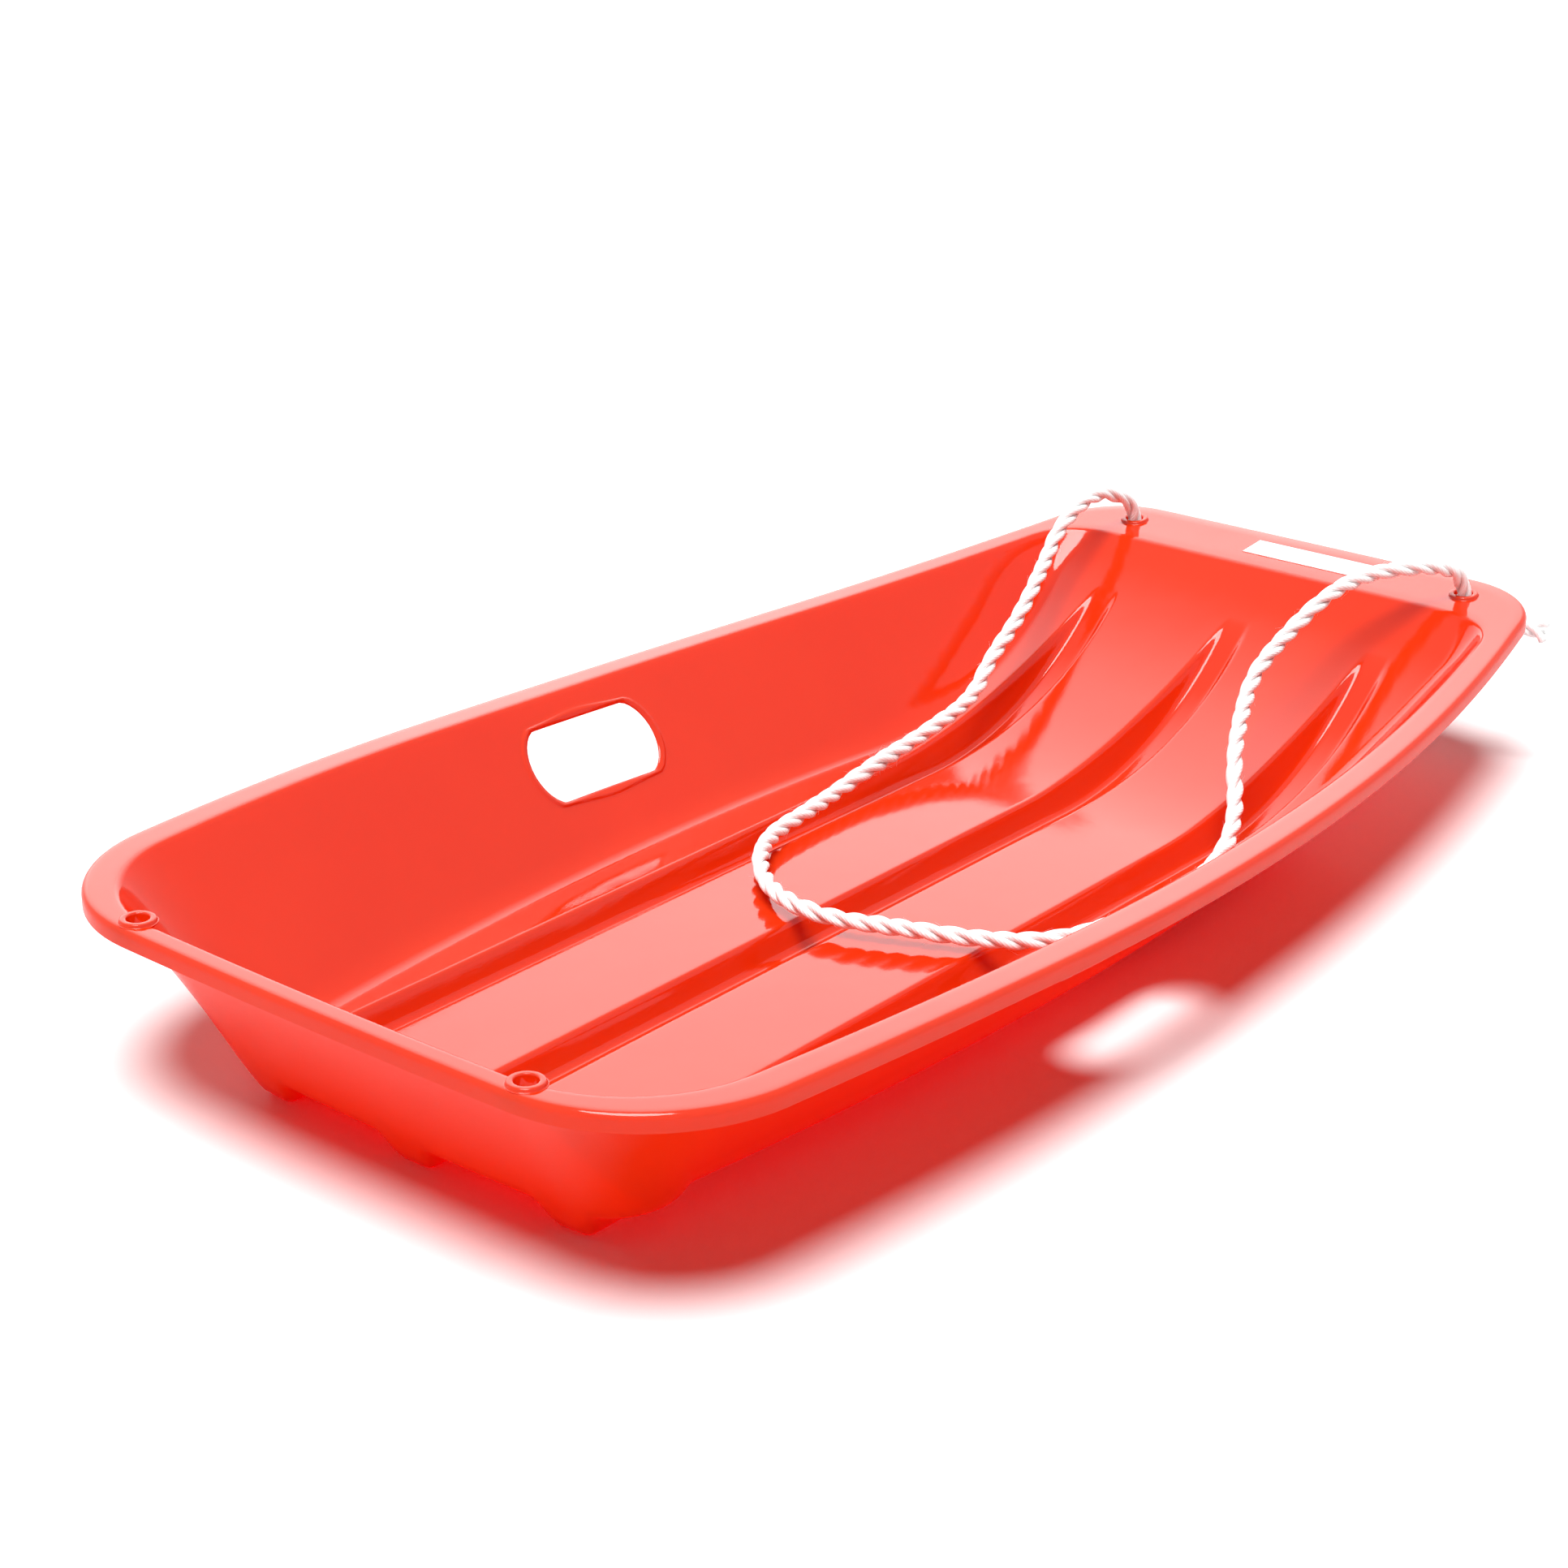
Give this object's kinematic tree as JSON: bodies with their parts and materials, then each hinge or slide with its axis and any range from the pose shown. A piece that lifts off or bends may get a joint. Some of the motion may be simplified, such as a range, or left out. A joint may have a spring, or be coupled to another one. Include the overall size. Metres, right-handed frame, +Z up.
{
  "type": "plastic toboggan",
  "caption": "Long shallow moulded plastic toboggan with a rolled rim, swept-up nose, moulded runners, hand holes in the sides and a twisted tow rope through eyelets on the front rim.",
  "frame": {"origin": "centre of the sled's plan at the ground it stands on, under the runners; the rope and its knots aren't counted", "axes": "+X towards the front, the end with the swept-up nose and the tow rope; +Y to the rider's left; +Z up"},
  "size_m": [0.8712, 0.4504, 0.1338],
  "materials": {
    "tub": "glossy orange-red injection-moulded polyethylene",
    "label": "blank white vinyl sticker",
    "rope": "white three-strand twisted polypropylene, slightly fuzzy"
  },
  "bodies": {
    "root": {"tub": "tub", "label": "label", "tow_rope": "rope", "left_knot": "rope", "right_knot": "rope"}
  },
  "joints": []
}
